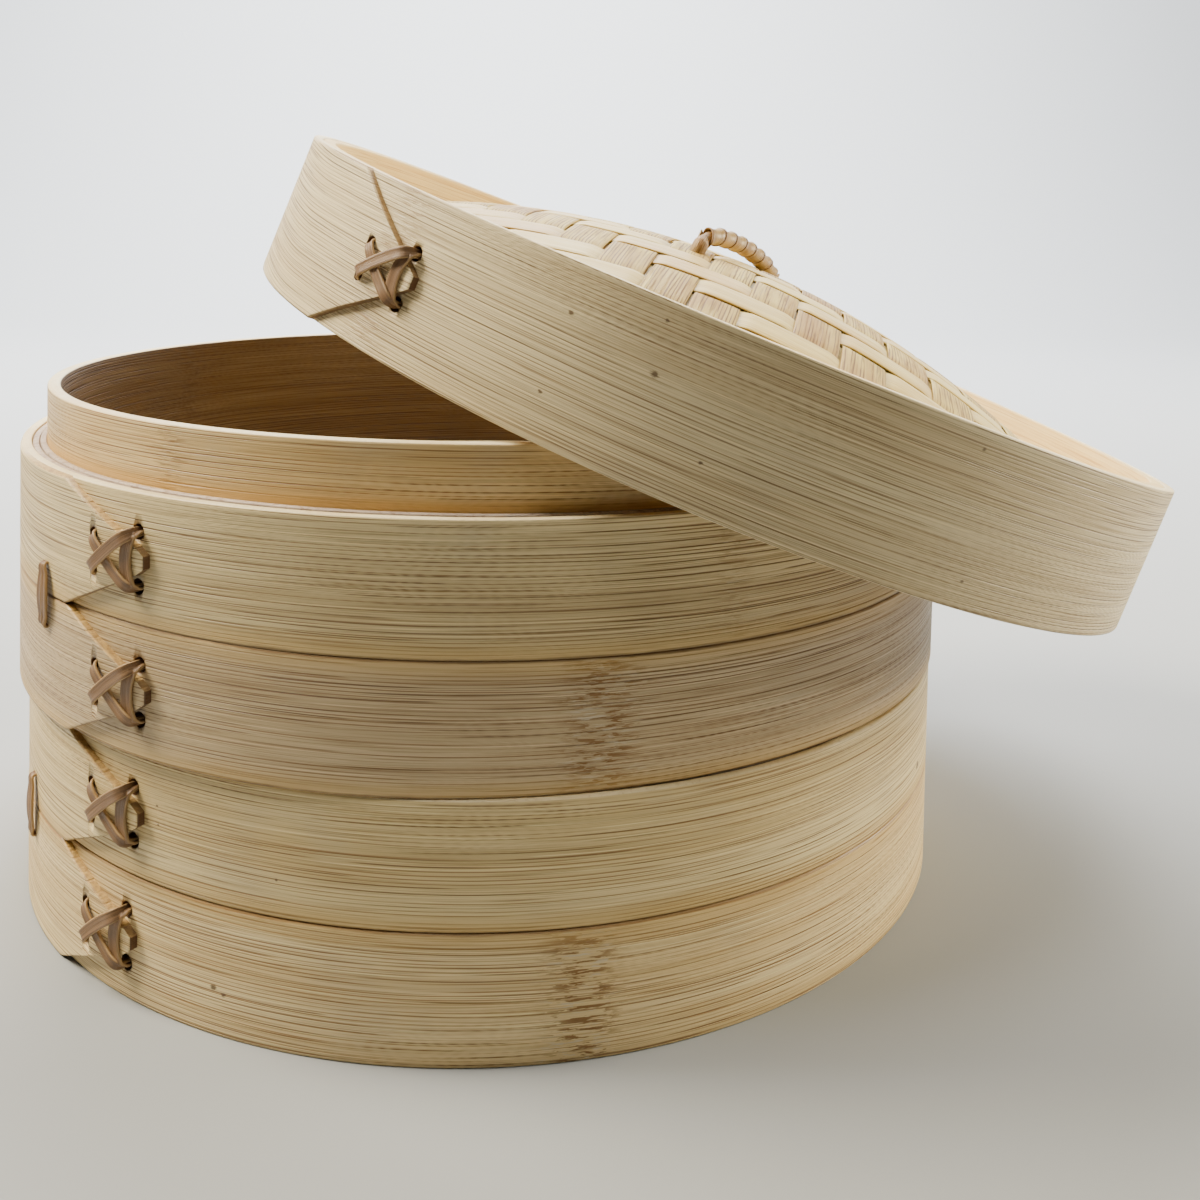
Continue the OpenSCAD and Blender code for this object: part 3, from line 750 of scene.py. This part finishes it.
def lacing(name, r, tip, mid, body, place, seed):
    """A cross and an upright of flat rattan that tie the pointed end down."""
    draw = np.random.default_rng(seed)
    top_left, low_left, top_right, low_right = LACING

    def strand(a, b, lift, width, bow, number):
        (ax, ay), (bx, by) = a, b
        line = []
        for t, out in ((0, -3.2), (0, 0.4), (0.1, 1), (0.35, 1), (0.65, 1), (0.9, 1), (1, 0.4), (1, -3.2)):
            bend = bow * math.sin(math.pi * t)
            x = ax + (bx - ax) * t + bend * (by - ay) / 12
            y = ay + (by - ay) * t - bend * (bx - ax) / 12
            under = LAP_T if x < -2.5 else 1.0
            if out > 0:
                out = under * (0.75 if out == 0.4 else 1) + (out - 0.4) * lift
            line.append(on_hoop(r, tip, mid, x, y, out))
        path = smooth_path(line, 42)
        lean = [np.array([p[0], p[1], 0]) / r for p in path]
        ends = np.linspace(0, 1, len(path))
        across = np.array(on_hoop(r, tip, 0, bx, by, 0)) - np.array(on_hoop(r, tip, 0, ax, ay, 0))
        across[2] = by - ay
        across /= np.linalg.norm(across)
        ups = []
        for e, up in zip(ends, lean):
            tilt = 0.0
            if e < 0.14:
                tilt = -1.4 * (1 - e / 0.14)
            if e > 0.86:
                tilt = 1.4 * (e - 0.86) / 0.14
            ups.append(up + across * tilt)
        taper = width * (0.72 + 0.28 * np.sin(np.pi * np.clip((ends - 0.08) / 0.84, 0, 1)) ** 0.5)
        p, f, g = ribbon(path, ups, taper, 0.55, number)
        return p, f, g, draw.uniform(0.0, 0.8)

    parts = [
        strand(top_right, low_right, 0.6, 3.5, 1.7, seed + 1),
        strand(top_left, low_right, 1.5, 2.7, 0.4, seed + 2),
        strand(low_left, top_right, 2.5, 3.0, -0.4, seed + 3),
    ]
    points, faces, grain, tone = join(parts)
    add_piece(name + "_strips", points, faces, rattan_look, body, place, (name,), grain, tone)


def tip_over(ups, ends):
    """Leans the directions at a stitch's two ends, so that it goes into its holes."""
    return [u + np.array([0, 0, 1.0]) * (1.4 * max(0, 1 - e / 0.12) - 1.4 * max(0, (e - 0.88) / 0.12))
            for u, e in zip(ups, ends)]


def seam_stitch_parts(tier, angle, proud, seed):
    """A loop of flat strip over the seam between two hoops, through the wall and back."""
    r, h = tier["r"], tier["hoop_h"]
    parts = []
    for bow, width, shift in ((2.0, 2.6, 0.3), (0.2, 2.6, -0.6)):
        line = [on_hoop(r, angle, h, shift, SEAM_REACH, -3.0)]
        for t in np.linspace(0, 1, 7):
            up = SEAM_REACH * (1 - 2 * t)
            arch = math.sin(math.pi * t)
            line.append(on_hoop(r, angle, h, shift + bow * arch, up * 1.02, proud + 0.5 + 0.9 * arch))
        line.append(on_hoop(r, angle, h, shift, -SEAM_REACH, -3.0))
        path = smooth_path(line, 48)
        ups = [np.array([p[0], p[1], 0]) / r for p in path]
        ends = np.linspace(0, 1, len(path))
        ups = tip_over(ups, ends)
        taper = width * (0.6 + 0.4 * np.sin(np.pi * np.clip((ends - 0.06) / 0.88, 0, 1)) ** 0.5)
        p, f, g = ribbon(path, ups, taper, 0.5, seed + shift)
        parts.append((p, f, g, 0.5 + 0.3 * bow))
    inner = r - HOOP_T - FILLER_T - WALL_T
    line = [on_hoop(inner, angle, h, 0, SEAM_REACH, 2.0)]
    line += [on_hoop(inner, angle, h, 0, SEAM_REACH * (1 - 2 * t), -0.55) for t in np.linspace(0, 1, 5)]
    line.append(on_hoop(inner, angle, h, 0, -SEAM_REACH, 2.0))
    path = smooth_path(line, 36)
    ups = [-np.array([p[0], p[1], 0]) / inner for p in path]
    ends = np.linspace(0, 1, len(path))
    ups = tip_over(ups, ends)
    p, f, g = ribbon(path, ups, 2.3, 0.5, seed + 3)
    parts.append((p, f, g, 0.4))
    return parts


for number, tier in enumerate(TIERS):
    place = tier_frame(tier)
    h = tier["hoop_h"]
    for k, part in enumerate(("_bottom_lacing", "_top_lacing")):
        lacing(tier["name"] + part, tier["r"], tier["tips"][k], (k + 0.5) * h, tier["body"], place,
               21 + 10 * number + 4 * k)
    beside_laps = lap_radius(tier["r"], abs(tier["seam"] - tier["tips"][0])) - tier["r"]
    parts = seam_stitch_parts(tier, tier["seam"], beside_laps, 51)
    parts += seam_stitch_parts(tier, tier["seam"] + 180, 0.0, 61)
    points, faces, grain, tone = join(parts)
    add_piece(tier["name"] + "_seam_strips", points, faces, rattan_look, tier["body"], place,
              (tier["name"] + "_seam_stitches",), grain, tone)


# ---- the lid ----

hoop("lid_hoop", LID_R, LID_H, LID_TIP, 0, 500, hoop_looks["lid_hoop"], "lid", lid_frame)
lacing("lid_lacing", LID_R, LID_TIP, LID_H / 2, "lid", lid_frame, 71)
LID_IN = LID_R - HOOP_T
rim = band_profile(LID_IN - FILLER_T, LID_IN - 0.05, DOME_EDGE_H + 0.1, LID_H - 0.2, 0.4)
skirt = band_profile(LID_IN - FILLER_T - 0.1, LID_IN - 0.05, 6, DOME_EDGE_H - 2.9, 0.4)
for part, profile, seed in (("rim", rim, 520), ("skirt", skirt, 530)):
    band(f"lid_{part}_strip", profile, seed, ring_look, "lid", lid_frame,
         (f"lid_{part}_ring",), 720, 0.06, 0.15)


def dome_point(x, y, lift):
    """A point of the dome over (x, y), lifted along the dome's normal."""
    radius = np.sqrt(x ** 2 + y ** 2)
    inside = np.minimum(radius, DOME_R)
    height = np.sqrt(BALL_R ** 2 - inside ** 2)
    scale = 1 + lift / BALL_R
    return np.stack([x * scale, y * scale, BALL_Z + height * scale], -1)


def cross_on_top(row, column):
    return (row - column) % 4 in (0, 1)


def woven_strips(name, along_rows, material, node, lift_mid, swing, thick, seed):
    """All the strips of one direction, each waving over two and under two of the others."""
    draw = np.random.default_rng(seed)
    pitch, other = (ROW_PITCH, COLUMN_PITCH) if along_rows else (COLUMN_PITCH, ROW_PITCH)
    turn = math.radians(WEAVE_ANGLE)
    edge_r = DOME_R + 1.6
    parts = []
    count = int(edge_r / pitch) + 3
    for k in range(-count, count):
        middle = ROWS_FROM - ROW_PITCH * (k + 0.5) if along_rows else COLUMNS_FROM + COLUMN_PITCH * (k + 0.5)
        width = pitch - draw.uniform(0.6, 1.3)
        if abs(middle) + 1 > edge_r:
            continue
        reach = math.sqrt(edge_r ** 2 - middle ** 2)
        run = np.arange(-reach, reach, 1.25)
        start = COLUMNS_FROM if along_rows else ROWS_FROM
        step = 1 if along_rows else -1
        cell = step * (run - start) / other
        index = np.floor(cell).astype(int)

        def level(i):
            over_cross = cross_on_top(k, i) if along_rows else cross_on_top(i, k)
            return (-1.0 if over_cross else 1.0) * (1 if along_rows else -1)

        part = cell - index
        here = np.array([level(i) for i in index])
        ahead = np.array([level(i + 1) for i in index])
        behind = np.array([level(i - 1) for i in index])
        soft = 0.26
        leaving = here + (ahead - here) * smooth_step((part - 1 + soft) / (2 * soft))
        arriving = behind + (here - behind) * smooth_step((part + soft) / (2 * soft))
        up = np.where(part < soft, arriving, np.where(part > 1 - soft, leaving, here))
        wander = 0.25 * np.sin(run / 23 + draw.uniform(0, 6.28))
        across = np.array([-1, -0.94, -0.6, 0, 0.6, 0.94, 1])
        crown = np.array([-0.16, 0, 0.05, 0.07, 0.05, 0, -0.16])
        outline = [(a, thick / 2 + c) for a, c in zip(across, crown)]
        outline += [(a, -thick / 2) for a in (1, 0.6, 0, -0.6, -1)]
        shell = []
        for a, t in outline:
            side = middle + a * width / 2 + wander
            e1, e2 = (run, side) if along_rows else (side, run)
            e1, e2 = np.broadcast_arrays(e1, e2)
            x = e1 * math.cos(turn) - e2 * math.sin(turn)
            y = e1 * math.sin(turn) + e2 * math.cos(turn)
            radius = np.sqrt(x ** 2 + y ** 2)
            calm = 1 - smooth_step((radius - DOME_R + 7) / 6)
            held = np.minimum(1, edge_r / radius)
            shell.append(dome_point(x * held, y * held, lift_mid + swing * up * calm + t))
        points = np.stack(shell, 1)
        grain = grain_of(run + 400, [a * width / 2 for a, _ in outline], k)
        faces = tube_faces(len(run), len(outline))
        if not along_rows:
            faces = [face[::-1] for face in faces]
        parts.append((points.reshape(-1, 3), faces, grain, draw.uniform(0, 1)))
    points, faces, grain, tone = join(parts)
    return add_piece(name, points, faces, material, "lid", lid_frame, (node,), grain, tone)


woven_strips("lid_rows", True, row_look, "lid_weave_rows", -0.75, 0.6, 0.45, 81)
woven_strips("lid_columns", False, column_look, "lid_weave_columns", -0.75, 0.6, 0.45, 82)


# ---- handle ----

HANDLE_AT = (-3, -2, 0)
HANDLE_TURN = 55
handle_turn = Matrix.Rotation(math.radians(HANDLE_TURN), 4, "Z")
handle_frame = lid_frame @ Matrix.Translation(Vector(HANDLE_AT) * MM) @ handle_turn
CROWN = DOME_EDGE_H + DOME_RISE
HANDLE_HALF = 28.0


def round_tube(path, radius, sides, number):
    path = np.asarray(path)
    along = unit(np.gradient(path, axis=0))
    side = unit(np.cross(along, [0, 1, 0.001]))
    other = np.cross(side, along)
    turn = np.linspace(0, 2 * math.pi, sides, endpoint=False)
    radius = np.broadcast_to(np.asarray(radius, float), (len(path),))
    points = np.stack([path + (side * math.cos(t) + other * math.sin(t)) * radius[:, None] for t in turn], 1)
    grain = grain_of(np.arange(len(path)) * 1.0, [math.sin(t) * 3 for t in turn], number)
    return points.reshape(-1, 3), tube_faces(len(path), sides), grain


def handle_path():
    """The handle's centre line: steep at its near foot, then a long low arch. Heights are from the crown."""
    half = HANDLE_HALF
    line = [(-half, -8), (-half - 0.6, -1.8), (-half + 0.3, 1.2), (-half + 3.6, 3.2), (-18, 4.2), (-10, 4.5),
            (-2, 4.4), (6, 3.8), (14, 2.8), (half - 7.5, 1.5), (half - 2.4, -0.4), (half - 0.3, -2.8),
            (half, -8)]
    return smooth_path([(x, 0, CROWN + up) for x, up in line], 240)


def handle_pieces():
    path = handle_path()
    run = run_length(path)
    rod_r, bare_extra, coil_r, coil_pitch, strip_w = 1.65, 0.6, 1.95, 7.6, 6.3
    bare_to, wound_from, wound_short = 8.5, 9.5, 4.0
    p, f, g = round_tube(path, rod_r + bare_extra * (1 - smooth_step((run - bare_to) / 2.5)), 18, 1)
    add_piece("lid_handle_rod", p, f, core_look, "lid", handle_frame,
              ("lid_handle_core",), g, np.full(len(p), 0.6))
    along = np.gradient(path, axis=0)
    t = np.linspace(wound_from, run[-1] - wound_short, 1400)
    at = np.stack([np.interp(t, run, path[:, k]) for k in range(3)], -1)
    way = unit(np.stack([np.interp(t, run, along[:, k]) for k in range(3)], -1))
    side = unit(np.cross(way, [0, 1, 0.001]))
    other = np.cross(side, way)
    phase = 2 * math.pi * t / coil_pitch
    radial = side * np.cos(phase)[:, None] + other * np.sin(phase)[:, None]
    p, f, g = ribbon(at + radial * coil_r, radial, strip_w, 0.5, 3, 0.1)
    add_piece("lid_handle_winding", p, f, pale_rattan_look, "lid", handle_frame,
              ("lid_handle_wrap",), g, np.full(len(p), 0.2))


handle_pieces()


# ---- floors of the tiers ----

def rounded_bar(width, low, thick, middle, along_x, limit, draw):
    """A lath across a round floor; its ends follow the circle."""
    edge = 0.4
    corners = []
    for cx, cz, first in ((width / 2 - edge, low + edge, -90), (width / 2 - edge, low + thick - edge, 0),
                          (-width / 2 + edge, low + thick - edge, 90), (-width / 2 + edge, low + edge, 180)):
        turns = [math.radians(first + a) for a in (0, 45, 90)]
        corners += [(cx + edge * math.cos(t), cz + edge * math.sin(t)) for t in turns]
    run = np.linspace(-1, 1, BAR_POINTS)
    bow = draw.uniform(-0.12, 0.12)
    shell = []
    for side, z in corners:
        s = middle + side
        reach = math.sqrt(limit ** 2 - s ** 2)
        e = run * reach
        lift = z + bow * (run ** 2) * 0.5
        aside = np.full(BAR_POINTS, s)
        shell.append(np.stack([e, aside, lift] if along_x else [aside, e, lift], -1))
    points = np.stack(shell, 1).reshape(-1, 3)
    faces = tube_faces(BAR_POINTS, len(corners))
    if along_x:
        faces = [face[::-1] for face in faces]
    return points, faces, np.zeros_like(points), draw.uniform(0, 1)


def dress(node, look):
    """Gives a CAD node its material."""
    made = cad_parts[node]
    made.data.materials.clear()
    made.data.materials.append(look)


def build_floor(tier, number):
    name, body, place = tier["name"], tier["body"], tier_frame(tier)
    wall_in = tier["r"] - HOOP_T - FILLER_T - WALL_T
    slat_low, slat_t, slat_w, count = SKIRT_H + 7, 2.4, 16, 9
    draw = np.random.default_rng(900 + number)
    limit = wall_in - 0.4
    pitch = 2 * (limit + 0.1 - 14) / count
    slats = [rounded_bar(slat_w - draw.uniform(0, 0.8), slat_low, slat_t, (k - 4) * pitch, False, limit, draw)
             for k in range(count)]
    points, faces, grain, tone = join(slats)
    add_piece(name + "_slat_strips", points, faces, slat_look, body, place,
              (name + "_slats",), grain, tone)
    bars = [rounded_bar(9, slat_low - 4, 4, side * 46, True, limit, draw) for side in (-1, 1)]
    points, faces, grain, tone = join(bars)
    add_piece(name + "_bar_strips", points, faces, bar_look, body, place,
              (name + "_cross_bars",), grain, tone)
    dress(name + "_floor_rings", wall_looks[number])
    dress(name + "_pegs", peg_look)


for number, tier in enumerate(TIERS):
    build_floor(tier, number)
dress("lid_lining", lining_look)
dress("lid_ribs", lining_look)
dress("lid_pegs", peg_look)


# ---- stage: metres from here on ----

def stage_floor():
    mesh = bpy.data.meshes.new("studio_floor")
    size, rise, back, bend = 4.0, 3.0, 2.2, 0.8
    turns = np.linspace(0, math.pi / 2, 12)
    sweep = [(back - bend + bend * math.sin(a), bend - bend * math.cos(a)) for a in turns]
    rows = [(-size, 0.0), *sweep, (back, rise)]
    points = [(x, y, z) for y, z in rows for x in (-size, size)]
    faces = [[2 * k, 2 * k + 1, 2 * k + 3, 2 * k + 2] for k in range(len(rows) - 1)]
    mesh.from_pydata(points, [], faces)
    mesh.polygons.foreach_set("use_smooth", [True] * len(mesh.polygons))
    paper = bpy.data.materials.new("Studio paper")
    paper.use_nodes = True
    paper.node_tree.nodes["Principled BSDF"].inputs["Base Color"].default_value = (0.33, 0.345, 0.36, 1)
    paper.node_tree.nodes["Principled BSDF"].inputs["Roughness"].default_value = 0.9
    mesh.materials.append(paper)
    floor = bpy.data.objects.new("studio_floor", mesh)
    bpy.context.scene.collection.objects.link(floor)


def lamp(name, at, aim, size, power, colour=(1, 1, 1), kind="AREA"):
    light = bpy.data.lights.new(name, kind)
    if kind == "AREA":
        light.shape = "DISK"
        light.size = size
    else:
        light.shadow_soft_size = size / 2
        light.spot_size = math.radians(24)
        light.spot_blend = 0.7
    light.energy = power
    light.color = colour
    holder = bpy.data.objects.new(name, light)
    holder.location = at
    holder.rotation_euler = (Vector(aim) - Vector(at)).to_track_quat("-Z", "Y").to_euler()
    bpy.context.scene.collection.objects.link(holder)


stage_floor()
lamp("top_light", (0.05, -0.15, 1.4), (0, 0, 0.1), 0.8, 112, (1, 0.95, 0.86), "SPOT")
lamp("left_light", (-1.0, 0.15, 1.1), (0, 0, 0.08), 0.6, 52, (1, 0.89, 0.68))
lamp("right_light", (1.15, 0.1, 0.45), (0, 0, 0.05), 0.6, 26, (1, 0.90, 0.68))
lamp("backdrop_light", (0, 1.0, 1.7), (0, 2.4, 0.5), 1.5, 300)
world = bpy.data.worlds.new("Studio")
world.use_nodes = True
world.node_tree.nodes["Background"].inputs["Color"].default_value = (1, 1, 1, 1)
world.node_tree.nodes["Background"].inputs["Strength"].default_value = 0.04
bpy.context.scene.world = world


# ---- camera ----

# Metres and radians. The shift is a part of the picture's width.
CAMERA_AT = (0.0, -0.39868, 0.17886)
YAW, PITCH, ROLL = 0.07622, 0.03692, 0.01885
LENS_MM = 40.263
LENS_SHIFT = -0.288075

forward = Vector((math.sin(YAW) * math.cos(PITCH), math.cos(YAW) * math.cos(PITCH), -math.sin(PITCH)))
right = Vector((math.cos(YAW), -math.sin(YAW), 0))
above = right.cross(forward)
camera = bpy.data.cameras.new("photo_camera")
camera.sensor_width = 36
camera.lens = LENS_MM
camera.shift_y = LENS_SHIFT
camera.clip_start = 0.01
viewer = bpy.data.objects.new("photo_camera", camera)
bpy.context.scene.collection.objects.link(viewer)
x_axis = math.cos(ROLL) * right + math.sin(ROLL) * above
y_axis = -math.sin(ROLL) * right + math.cos(ROLL) * above
turned = Matrix((x_axis, y_axis, -forward)).transposed().to_4x4()
viewer.matrix_world = Matrix.Translation(CAMERA_AT) @ turned
bpy.context.scene.camera = viewer
